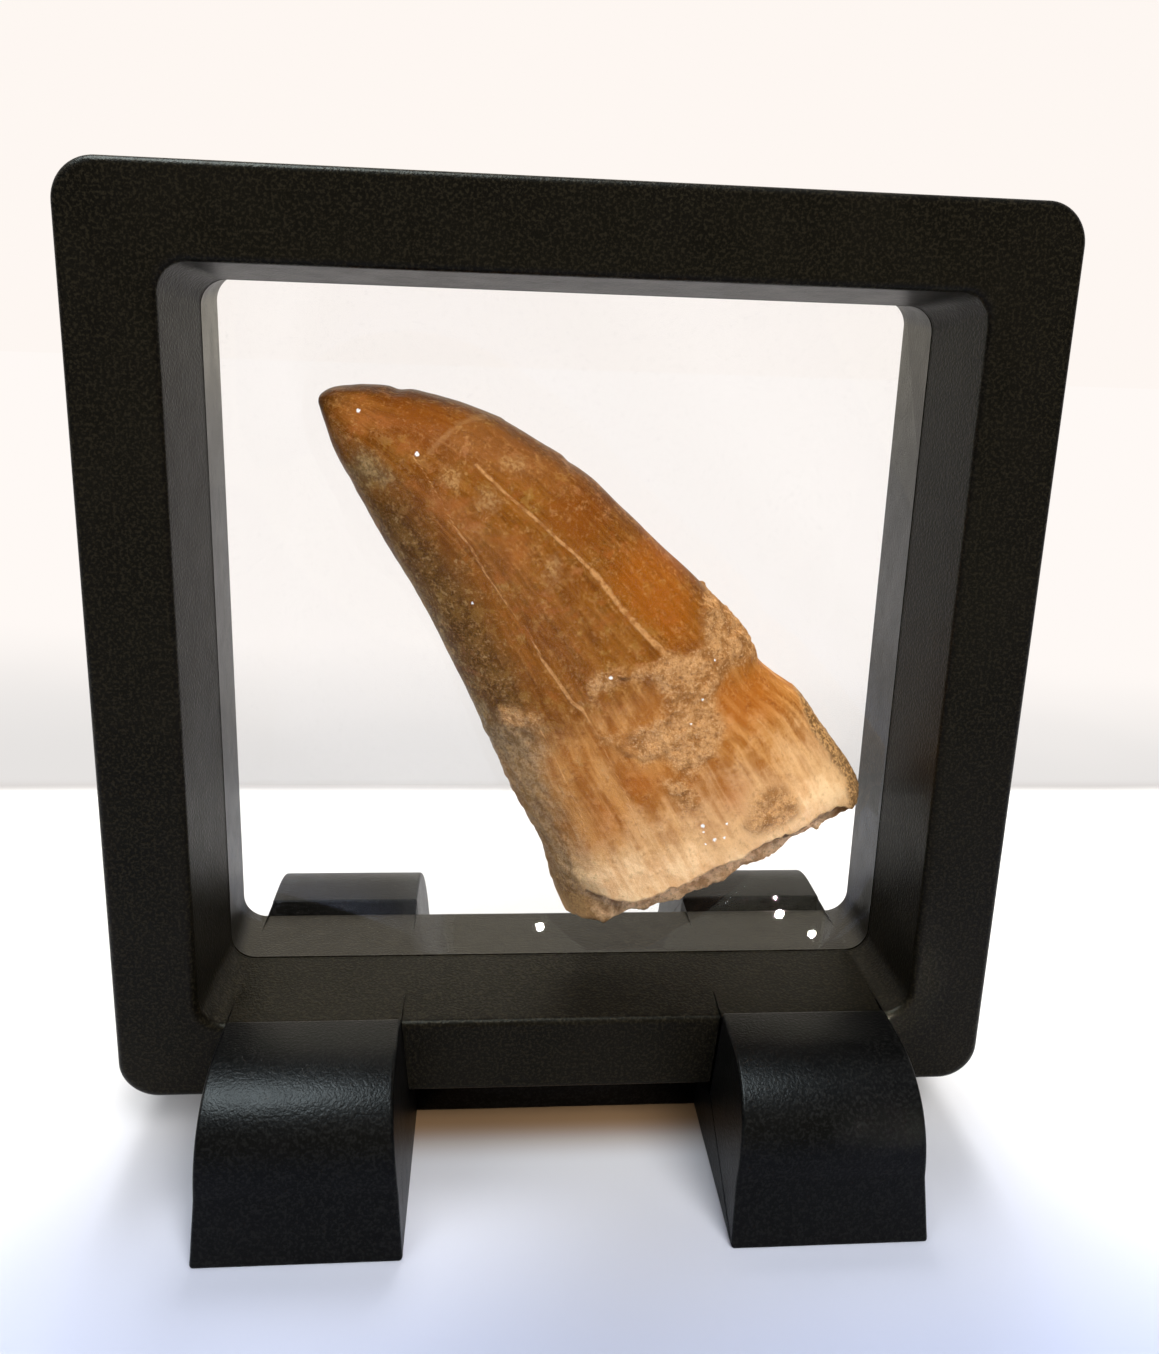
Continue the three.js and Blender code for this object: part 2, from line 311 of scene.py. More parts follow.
# The rail's section in inset and distance from the middle plane, with a point close to each end of a
# flat run so that the flats stay flat when they are shaded smooth.
def makeFrameHalf(name, side, replaced):
    r = rail
    half = r["depth"] / 2
    low = r["gap"] / 2
    fillet, hold = r["fillet"], r["hold"]
    inside = r["bezel"] + r["draft"]
    outerFace = quarterRound((fillet, half - fillet), fillet, math.pi / 2, r["filletSteps"])[::-1]
    innerFace = quarterRound((r["bezel"] - fillet, half - fillet), fillet, 0, r["filletSteps"])[::-1]
    down = np.array([0.04, 0.5, 0.97])
    wall = np.stack([between(r["bezel"], inside, down), between(half - fillet, low, down)], axis=-1)
    section = np.concatenate([
        [[r["chamfer"], low], [0.02, low + r["chamfer"]], [0, low + r["chamfer"] + 0.05]],
        [[0, half * 0.5]],
        outerFace,
        [[fillet + hold, half], [r["bezel"] * 0.5, half], [r["bezel"] - fillet - hold, half]],
        innerFace,
        wall,
        [[inside, low + hold], [inside + 0.02, low], [inside - 0.1, low], [r["chamfer"] + 0.1, low]],
    ])
    radius = between(r["outerCorner"], r["innerCorner"], section[:, 0] / r["bezel"])
    rings = roundSquare(r["side"] / 2 - section[:, 0], radius, r["cornerSteps"])
    y = np.broadcast_to(side * section[:, 1][:, None], rings.shape[:2]) + frameSet["back"]
    z = rings[..., 1] + r["side"] / 2 + frameSet["lift"]
    points = np.stack([rings[..., 0], y, z], axis=-1)
    faces = gridFaces(*rings.shape[:2], True, True, turned=side > 0)
    piece = makePiece(name, points.reshape(-1, 3), [faces], frameBlack)
    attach(piece, "root")
    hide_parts(replaced)
    return piece


makeFrameHalf("frontHalf", -1, "frame_front")
makeFrameHalf("rearHalf", 1, "frame_rear")
print("frame halves made")

# The stand has two feet and a low bridge between them.
stand = {
    "halfDepth": 27.8, "top": 15.0,
    "innerTop": 16.6, "innerFoot": 15.3, "outerTop": 34.0, "outerFoot": 34.4,
    "rollStart": 16.0, "rollReach": 10.0, "rollDrop": 9.2, "rollPower": 2.4,
    "slotHalf": 12.2, "slotFloor": 5.7, "bridgeHalf": 7.3, "edge": 0.35, "corner": 0.45,
}


# Rounds each corner of a closed outline: a quadratic bend runs from just before it to just after it.
def easeCorners(corners, radius, steps=5):
    p = np.asarray(corners, float)
    before = np.roll(p, 1, axis=0) - p
    after = np.roll(p, -1, axis=0) - p
    first = p + before / np.linalg.norm(before, axis=1, keepdims=True) * radius
    last = p + after / np.linalg.norm(after, axis=1, keepdims=True) * radius
    t = np.linspace(0, 1, steps + 1)[None, :, None]
    bend = (1 - t) ** 2 * first[:, None] + 2 * t * (1 - t) * p[:, None] + t**2 * last[:, None]
    return bend.reshape(-1, 2)


# A foot's outline from the side. The roll is y = start + reach * sin(a)^(2/power),
# z = top - drop * (1 - cos(a)^(2/power)), and the slot for the frame is cut into the flat top.
def footOutline():
    s = stand
    a = np.linspace(0, math.pi / 2, 40)
    y = s["rollStart"] + s["rollReach"] * np.sin(a) ** (2 / s["rollPower"])
    z = s["top"] - s["rollDrop"] * (1 - np.cos(a) ** (2 / s["rollPower"]))
    roll = np.stack([y, z], axis=-1)[::-1]
    foot = (s["halfDepth"], 0)
    lip = (s["slotHalf"], s["top"])
    floor = (s["slotHalf"], s["slotFloor"])

    # One corner eased between its neighbours.
    def eased(before, corner, after):
        return easeCorners([before, corner, after], s["corner"])[6:12]

    oneSide = np.concatenate([
        eased((-foot[0], 0), foot, roll[0]), roll,
        eased(roll[-1], lip, floor), eased(lip, floor, (-floor[0], floor[1])),
    ])
    return np.concatenate([oneSide, (oneSide * [-1, 1])[::-1]])


# Outline carried across the foot. Near each flank it shrinks by edge * (1 - sin) while x runs in by
# edge * (1 - cos), which rounds the flank's edges, and x leans with height from foot to top.
def makeFoot(side, start):
    s = stand
    outline = footOutline()
    run = np.roll(outline, -1, axis=0) - np.roll(outline, 1, axis=0)
    inward = np.stack([-run[:, 1], run[:, 0]], axis=-1) / np.linalg.norm(run, axis=1, keepdims=True)
    turn = np.linspace(0, math.pi / 2, 5)
    rounded = s["edge"] * (1 - np.sin(turn))
    flank = [s["edge"] + 0.25]
    shrink = np.concatenate([flank, rounded, rounded[::-1], flank])
    width = s["outerFoot"] - s["innerFoot"]
    near = s["edge"] * (1 - np.cos(turn)) / width
    share = np.concatenate([[0], near, 1 - near[::-1], [1]])
    yz = outline[None] + inward[None] * shrink[:, None, None]
    height = yz[..., 1] / s["top"]
    inner = between(s["innerFoot"], s["innerTop"], height)
    outer = between(s["outerFoot"], s["outerTop"], height)
    x = side * between(inner, outer, share[:, None])
    points = np.stack([x, yz[..., 0], yz[..., 1]], axis=-1)
    rows, columns = points.shape[:2]
    faces = gridFaces(rows, columns, False, True, start, turned=side < 0)
    ends = np.stack([np.arange(columns)[::-1], (rows - 1) * columns + np.arange(columns)]) + start
    return points.reshape(-1, 3), faces, ends if side > 0 else ends[:, ::-1]


# The bridge: a rounded slab that runs a little way into both feet.
def makeBridge(start):
    s = stand
    reach = s["innerFoot"] + 0.6
    top = s["slotFloor"] - 0.04
    deep = s["bridgeHalf"]
    outline = easeCorners([[-deep, 0], [deep, 0], [deep, top], [-deep, top]], 0.5)
    x = np.array([-reach, -reach * 0.3, reach * 0.3, reach])
    y, z = outline[None, :, 0], outline[None, :, 1]
    points = np.stack(np.broadcast_arrays(x[:, None], y, z), axis=-1)
    faces = gridFaces(4, len(outline), False, True, start)
    ends = np.stack([np.arange(len(outline))[::-1], 3 * len(outline) + np.arange(len(outline))]) + start
    return points.reshape(-1, 3), faces, ends


def makeStand():
    points, faces = [], []
    start = 0
    for make in (lambda n: makeFoot(1, n), lambda n: makeFoot(-1, n), makeBridge):
        made, sides, ends = make(start)
        points.append(made)
        faces += [sides, ends]
        start += len(made)
    piece = makePiece("slottedStand", np.concatenate(points), faces, standBlack)
    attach(piece, "root")
    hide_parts("stand")
    return piece


makeStand()
print("stand made")

# The tooth's edges as seen from the front, from the tip to the broken end.
tooth = {
    "upperEdge": [
        (-24.9, 69.9), (-24.7, 70.6), (-23.4, 71.3), (-21, 71.6), (-18.4, 71.5), (-17.2, 71.2),
        (-15.6, 71.2), (-11.4, 70.2), (-7.6, 68.9), (-6.6, 68.3), (-3.8, 66.7), (-1.2, 65.3),
        (-0.4, 64.6), (0.8, 63.9), (2.5, 62.6), (4.8, 60.4), (6.8, 58.7), (9.8, 56), (13.5, 52.7),
        (16, 50.4), (17.6, 48.9), (19.2, 46.9), (20.4, 44.4), (22.4, 42.6), (25.1, 40.6), (27.7, 37.2),
        (30.2, 34), (32.3, 31), (32.7, 29.3),
    ],
    "lowerEdge": [
        (-24.9, 69.9), (-24.8, 69.2), (-23.6, 65.3), (-21.7, 61.7), (-19.3, 57.3), (-16.7, 53),
        (-14.2, 48.4), (-11.6, 42.9), (-8.9, 37.2), (-6.1, 31), (-4.6, 27.9), (-3.2, 25.4), (-2.1, 23),
        (-0.8, 18.4), (0.4, 15.6),
    ],
    "breakAcross": (32.3, 13.7),
    "crownThickness": 14.5, "rootThickness": 17.5, "sectionPower": 0.92, "tipShare": 0.32,
    # Reach of the broken end past the line between its corners, at shares across it.
    "frontRim": [
        (0, -0.4), (0.03, -2), (0.1, -2.9), (0.16, -2), (0.2, -1.3), (0.27, -0.8), (0.31, -0.8),
        (0.35, -1.5), (0.4, -1.3), (0.5, -1.9), (0.56, -1.6), (0.65, -2.4), (0.73, -1.9), (0.8, -2.1),
        (0.88, -1.7), (0.95, -1.8), (1, -0.3),
    ],
    "core": [
        (0, 0), (0.005, 0.7), (0.04, 1.4), (0.085, 2.4), (0.11, 3.3), (0.145, 3), (0.2, 2.9),
        (0.26, 2.9), (0.34, 3.6), (0.405, 3.8), (0.46, 3.5), (0.53, 3.2), (0.585, 3), (0.63, 2.7),
        (0.68, 2.3), (0.735, 1.7), (0.8, 2.1), (0.89, 1.7), (0.95, 1.4), (0.985, 0.6), (1, 0),
    ],
    "slant": 0.3, "rings": 262, "sides": 300, "capRings": 46,
}

# Marks on the tooth, in the same plane as its edges. Each crack has its own half width first.
marks = {
    "frontCracks": [
        (0.15, [
            (-9.6, 64.7), (-6.9, 62.2), (-4.8, 60.5), (-3, 59), (-1.5, 57.6), (0.3, 56.1), (1.8, 54.6),
        ]),
        (0.26, [(1.8, 54.6), (3, 53.3), (4.8, 51), (6.4, 49.3), (8.1, 47.6), (9.3, 46.5)]),
        (0.07, [(-15.5, 65.4), (-14.2, 63.6), (-12.8, 61.2), (-11.4, 58.6)]),
        (0.11, [
            (-11.4, 58.6), (-9.9, 56.7), (-8.8, 54.7), (-7.3, 52.6), (-6, 50.7), (-4.2, 48.3),
            (-2.8, 45.6),
        ]),
        (0.16, [(-2.8, 45.6), (-1.3, 43.6), (0.1, 41.5), (1.2, 40.8), (2.1, 39.1), (2.9, 37.8)]),
        (0.09, [(-2.9, 38.1), (-1.5, 35.4), (0, 32.3), (1.2, 29.9), (2, 27)]),
        (0.1, [(3.1, 37.3), (4.8, 34), (6.1, 31.4), (7.1, 28.4), (7.8, 27.2)]),
        (0.12, [(19.3, 39.5), (20.8, 37.9), (22.6, 35.7)]),
    ],
    "backCracks": [
        (0.17, [(-14, 66), (-8, 61.2), (-1, 53), (3, 47.2), (6, 42.5)]),
        (0.13, [(-4, 62.5), (3, 56), (9, 50.5), (13, 47)]),
        (0.12, [(-13, 56), (-9, 49), (-5, 42)]),
        (0.1, [(4, 38), (7.5, 32), (10, 26)]),
        (0.1, [(15, 40), (19, 35), (21.5, 30)]),
    ],
    "grit": [
        [
            (2.2, 44.2), (3.2, 44.9), (4.4, 45.1), (6, 44.7), (8.2, 45.2), (9.1, 46.2), (11.9, 46.4),
            (13.4, 46.9), (13.1, 48.7), (12.9, 50.1), (14.3, 51.8), (17.4, 51.2), (20.4, 48),
            (21.8, 44.6), (18.2, 44.6), (16.3, 44.3), (15.3, 43.3), (14.6, 42), (14.9, 40.4),
            (15.5, 39.1), (15.4, 37.4), (14.5, 36.1), (12.9, 34.7), (11.8, 33.8), (10.9, 34.7),
            (9.5, 36), (7.2, 35.6), (5.6, 36.5), (4.9, 37.4), (3.1, 37.4), (2.9, 38), (5.5, 38.6),
            (8.2, 39.3), (9.3, 40.2), (9.4, 42.3), (8.7, 43.7), (7.3, 44), (5.4, 43.6), (3.8, 43.1),
            (2.7, 42.5), (2.6, 41.4), (0.6, 40.7), (0.3, 41.3), (1.4, 42), (1.9, 42.9),
        ],
        [
            (19.2, 31.7), (20.6, 32.7), (22.6, 32.5), (23.9, 31.1), (24.2, 29.4), (22, 28.2),
            (19.6, 27.7), (18.1, 28.7),
        ],
        [(9.6, 33.2), (11.4, 33.8), (13.1, 32.3), (13.4, 30.7), (12, 29.9), (11, 31.4)],
        [(-7, 39.9), (-3.6, 40.1), (-2.6, 39.7), (-2.8, 39), (-4, 38.5), (-7, 38.3)],
    ],
    "crust": [[
        (-9.5, 39), (-3.8, 38.7), (-2.8, 37.7), (-2.4, 35.3), (-1.6, 31.5), (-0.3, 27.5), (1.2, 24.6),
        (2.4, 22.8), (3.2, 21.3), (1.5, 19.4), (-1, 18.8), (-3.4, 22.1), (-5.7, 27.7), (-8, 33.8),
    ]],
    "cream": [
        [
            (22.9, 31.9), (24.9, 33), (27.7, 32.9), (30.4, 30.8), (30.6, 29.6), (29.5, 28.9),
            (23.1, 27.8), (21.3, 27.6), (22.8, 29.1), (24.1, 29.4),
        ],
        [
            (1.3, 21.9), (3.8, 23.1), (6.2, 24.3), (8.2, 24.6), (10.4, 25.4), (12.2, 26.3),
            (14.3, 25.8), (16, 24.8), (21.3, 27.3), (24, 27.9), (18.3, 24), (11.5, 20), (9.3, 18),
            (4.8, 17.9), (2.2, 19.4),
        ],
    ],
    "warm": [
        [
            (15.3, 43.3), (19.6, 43.5), (21.8, 41.4), (22.2, 39.8), (20.3, 38.8), (17.8, 38.3),
            (15.9, 39.1), (14.9, 40.9),
        ],
        [
            (4.1, 55.4), (7.7, 57.6), (11.4, 55.4), (12.6, 50.2), (12.4, 47.2), (10, 46.8), (6.1, 50.4),
            (3.6, 53.6),
        ],
        [(6.6, 34.6), (9.2, 34), (9, 32), (6.8, 31.2), (5.8, 33)],
        [(2.6, 30.4), (4.6, 30.6), (5.6, 27.2), (3.4, 26.4)],
        [(15.8, 33), (18, 32.6), (17.8, 30.4), (15.9, 30.8)],
    ],
    "olive": [[
        (-18.5, 62.2), (-15.9, 60.9), (-13.4, 57.5), (-11, 54.2), (-8.9, 50.3), (-7.2, 46.8),
        (-4.9, 42.7), (-4.4, 40.1), (-7.5, 39.3), (-9.8, 43.8), (-12.8, 48.4), (-15.2, 53.6),
        (-17.7, 57.4), (-19.2, 59),
    ]],
    "deep": [
        [(-3.2, 61.2), (0.9, 62.4), (3.7, 60.8), (2.5, 57.6), (0.6, 56.2), (-2.2, 58.5)],
        [
            (-18.3, 72), (-16.2, 72), (-12.6, 71.6), (-9.3, 69.6), (-11.3, 68.2), (-13.8, 66),
            (-15.6, 65.7), (-16.8, 66.8), (-18, 68.3), (-17.5, 69.5), (-19.3, 70.4),
        ],
    ],
    "ashy": [
        [
            (-20.7, 65.7), (-19.2, 65.4), (-18.3, 64.4), (-17.1, 63.2), (-18, 62.6), (-20.1, 62.3),
            (-21.8, 63.4),
        ],
    ],
    "dusty": [[
        (-9.5, 69), (-7.5, 68.8), (-1.8, 65.4), (-0.6, 62.3), (-5.7, 63.5), (-10.2, 65), (-13.4, 65.9),
        (-11.3, 67.9),
    ]],
    "blush": [
        [
            (-23, 70.1), (-20.8, 70.4), (-18, 69.3), (-17.6, 68.3), (-19.2, 68.3), (-20.2, 67.2),
            (-21.5, 67.7),
        ],
        [(-7, 57.7), (-4.8, 58.3), (-3.7, 57), (-4.4, 55.6), (-5.8, 54.8), (-7.3, 56.3)],
        [(-16.2, 67.1), (-15, 66.9), (-15, 65.9), (-16.2, 66)],
        [(-14.6, 62.4), (-13.2, 62.2), (-9.6, 58.6), (-10.6, 57.6), (-13.4, 60.4)],
    ],
    "rim": [[
        (24.5, 41.5), (26.9, 39.9), (30.2, 36), (33.2, 31.7), (33, 29), (31, 28), (30.3, 30.1),
        (29.9, 32.1), (27.9, 34.7), (25.7, 37.7),
    ]],
    "tipLine": [(-14, 65.7), (-12.8, 67), (-11.3, 68.3), (-9.8, 68.9), (-8.9, 69)],
    "umber": [[
        (-1.4, 20.2), (1.6, 21.4), (3.8, 20), (4.6, 18.4), (7.6, 17.6), (6.4, 16.4), (5, 14.4),
        (2.2, 15.6), (-0.6, 18),
    ]],
    # Painted glints: small white spots in the tooth's colour, each a place and a size, standing in for
    # lamps glinting on it.
    "paintedGlints": [
        (-20.7, 69.3, 0.24), (-15.1, 65.6, 0.26), (3.9, 44.2, 0.22), (13.9, 28.7, 0.24), (14, 28, 0.15),
        (16.4, 28.9, 0.16), (15.2, 27.2, 0.22), (14.3, 26.7, 0.13), (16.2, 27.4, 0.16),
        (-9.8, 51.2, 0.17), (13.4, 41.8, 0.13), (12.2, 39.4, 0.12), (14.6, 45.6, 0.12),
    ],
    "pale": [
        [(-2.6, 55.6), (-1.9, 56.2), (-1.2, 55.3), (-1.6, 53.8), (-2.6, 52.8), (-3, 54.2)],
        [(-9.2, 62.6), (-7.6, 62.4), (-7.2, 60.6), (-8.4, 60.2), (-9.6, 61.2)],
        [(-7, 65.6), (-5, 65.2), (-5.4, 64), (-7.4, 64.4)],
        [(-12.6, 64.6), (-11, 64), (-11.4, 62.6), (-13, 63.2)],
    ],
}


# Distance to the nearest of some open lines, as the least distance to each straight part.
def lineDistance(places, lines):
    nearest = np.full(places.shape[:-1], 1e3)
    for line in lines:
        p = np.asarray(line, float)
        for a, b in zip(p[:-1], p[1:]):
            share = np.clip(((places - a) @ (b - a)) / ((b - a) @ (b - a)), 0, 1)
            away = np.linalg.norm(places - a - share[..., None] * (b - a), axis=-1)
            nearest = np.minimum(nearest, away)
    return nearest


# Distance to a closed outline, above zero inside it. A place is inside where a straight line from it
# crosses an odd number of the outline's sides.
def areaDistance(places, outline):
    p = np.asarray(outline, float)
    q = np.roll(p, -1, axis=0)
    inside = np.zeros(places.shape[:-1], bool)
    for a, b in zip(p, q):
        crosses = (a[1] > places[..., 1]) != (b[1] > places[..., 1])
        rise = b[1] - a[1] if b[1] != a[1] else 1e-9
        inside ^= crosses & (places[..., 0] < (b[0] - a[0]) * (places[..., 1] - a[1]) / rise + a[0])
    return lineDistance(places, [np.vstack([p, p[:1]])]) * np.where(inside, 1, -1)


# Distance to the nearest crack, as a multiple of that crack's own half width.
def crackReach(places, cracks):
    return np.min([lineDistance(places, [line]) / width for width, line in cracks], axis=0)


# Distance into the nearest of some areas, above zero inside.
def areaReach(places, outlines):
    return np.max([areaDistance(places, outline) for outline in outlines], axis=0)


markedAreas = (
    "grit", "crust", "cream", "warm", "olive", "deep", "ashy", "dusty", "blush", "rim", "umber", "pale",
)


# The bare surface. Along it, place = lower + (upper - lower) * (c + 1) / 2 with c = reach * cos(angle),
# and depth = half thickness * reach * sin(angle)^power. The broken end pushes it on past its corners.
def toothSurface(along, angle, reach):
    t = tooth
    upper = curveThrough(t["upperEdge"], along)
    lower = curveThrough(t["lowerEdge"], along)
    sine = np.sin(angle)
    c = reach * np.cos(angle)
    s = reach * np.sign(sine) * np.abs(sine) ** t["sectionPower"]
    tip = np.sqrt(1 - (1 - np.minimum(1, along / t["tipShare"])) ** 2)
    half = between(t["crownThickness"], t["rootThickness"], softStep(along, 0.45, 1)) / 2 * tip
    a = (c + 1) / 2
    front = np.interp(a, *zip(*t["frontRim"]))
    core = np.interp(a, *zip(*t["core"]))
    spots = np.stack([a * 30, s * 9, np.zeros_like(a)], axis=-1)
    layer = softStep(-s + 0.05 * grain(spots * 0.5, 3), -0.6, -0.5)
    back = core - 1.6 + 0.8 * grain(spots * 0.4, 4)
    core = core - t["slant"] * half * np.maximum(s, 0)
    end = between(front, core, layer)
    end = between(end, back * softStep(a * (1 - a), 0, 0.06), softStep(-s, 0.45, 0.75))
    chips = 0.3 * roughGrain(spots * 0.55, 7) + 0.14 * roughGrain(spots * 1.9, 16)
    end = end + chips * softStep(a * (1 - a), 0, 0.05)
    down = np.array([t["breakAcross"][1], -t["breakAcross"][0]]) / np.hypot(*t["breakAcross"])
    flat = lower + (upper - lower) * a[..., None] + down * (softStep(along, 0.8, 1) * end)[..., None]
    return np.stack([flat[..., 0], -half * s, flat[..., 1]], axis=-1), c, s


# Heights of the tooth's relief, and how many half widths of a crack its groove spreads over.
relief = {
    "swell": 0.12, "pores": 0.035, "waves": 0.1, "fibres": 0.05, "broken": 0.25,
    "crack": 0.06, "crackSpread": 1.2,
    "grit": 0.16, "gritLumps": 0.24, "gritGrains": 0.16, "crust": 0.06, "crustLumps": 0.14,
}


# The bare surface is pushed along its normals by the relief, and two fans of faces close its ends.
def makeTooth(finish):
    t = tooth
    turn = np.linspace(0, 2 * math.pi, t["sides"], endpoint=False)[None, :]
    share = np.linspace(0, 1, t["rings"])[:, None]
    along = 0.0008 + 0.9992 * share**1.12
    inset = np.linspace(1, 0, t["capRings"] + 1)[1:-1, None] ** 0.8
    along = np.concatenate([along, np.ones_like(inset)]) + 0 * turn
    reach = np.concatenate([np.ones_like(share), inset]) + 0 * turn
    angle = turn + 0 * along
    bare, c, s = toothSurface(along, angle, reach)
    capped = reach < 1

    # Normals from the grid's own two directions.
    aroundRun = np.roll(bare, -1, axis=1) - np.roll(bare, 1, axis=1)
    alongRun = np.gradient(bare, axis=0)
    normal = np.cross(alongRun, aroundRun)
    normal /= np.linalg.norm(normal, axis=-1, keepdims=True) + 1e-9
    outward = np.sign((normal * (bare - bare.mean(axis=1, keepdims=True))).sum(-1).sum())
    normal *= outward

    flat = bare[..., [0, 2]]
    backness = softStep(bare[..., 1], 0.5, 5)
    warp = np.stack([grain(bare * 0.11, 11), grain(bare * 0.11, 12)], axis=-1) * 5
    read = flat + backness[..., None] * warp
    front, rear = [crackReach(flat, marks[name]) for name in ("frontCracks", "backCracks")]
    crack = np.where(bare[..., 1] < 0, front, rear)
    areas = {name: areaReach(read, marks[name]) for name in markedAreas}
    ragged = 0.5 * roughGrain(bare * 0.9, 13)
    gritty = softStep(areas["grit"] + ragged, -0.25, 0.45) * ~capped
    crusty = softStep(np.maximum(areas["crust"], areas["rim"]) + ragged, -0.3, 0.6) * ~capped
    fibre = np.stack([np.cos(angle) * 9, np.sin(angle) * 9, along * 4], axis=-1)

    r = relief
    height = r["swell"] * grain(bare * 0.22, 1) + r["pores"] * roughGrain(bare * 0.9, 2)
    height = height + r["waves"] * grain(fibre * [0.45, 0.45, 0.4], 17)
    lumps = r["gritLumps"] * roughGrain(bare * 1.1, 5) + r["gritGrains"] * grain(bare * 2.6, 6)
    height = height + gritty * (r["grit"] + lumps)
    height = height + crusty * (r["crust"] + r["crustLumps"] * roughGrain(bare * 1.3, 15))
    root = softStep(along, 0.64, 0.75) * ~capped
    height = height + root * r["fibres"] * roughGrain(fibre * [1.3, 1.3, 0.6], 8, 2)
    height = height - r["crack"] * np.exp(-((crack / r["crackSpread"]) ** 2)) * ~capped
    height = height * between(0.55, 1, softStep(np.abs(s) + capped, 0, 0.25))
    height = height * softStep(along, 0.01, 0.06) + capped * r["broken"] * roughGrain(bare * 0.7, 9)
    points = bare + normal * height[..., None]

    rows, columns = points.shape[:2]
    tip = points[0].mean(axis=0)
    heart = points[-1].mean(axis=0)
    grid = points.reshape(-1, 3)
    everything = np.concatenate([grid, [tip, heart]])
    k = np.arange(columns)
    tipFan = np.stack([np.full(columns, rows * columns), (k + 1) % columns, k], axis=-1)
    heartFan = np.stack([np.full(columns, rows * columns + 1), (rows - 1) * columns + k], axis=-1)
    heartFan = np.column_stack([heartFan, (rows - 1) * columns + (k + 1) % columns])

    # A field's values at all points, the two end points last.
    def atPoints(values):
        flatValues = values.reshape(rows * columns, -1)
        ends = np.stack([flatValues[0], flatValues[-1]])
        return np.squeeze(np.concatenate([flatValues, ends]))

    fields = {"along": along, "across": c, "crack": crack, "broken": capped * 1.0, "inward": 1 - reach}
    fields |= {"fibre": fibre, "tipLine": lineDistance(flat, [marks["tipLine"]])} | areas
    fields = {name: atPoints(values) for name, values in fields.items()}
    placed = everything + [0, frameSet["back"], frameSet["lift"]]
    body = gridFaces(rows, columns, False, True, turned=True)
    piece = makePiece("mosasaurTooth", placed, [body, tipFan, heartFan], finish, fields=fields)
    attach(piece, "root")
    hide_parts("tooth")
    return everything


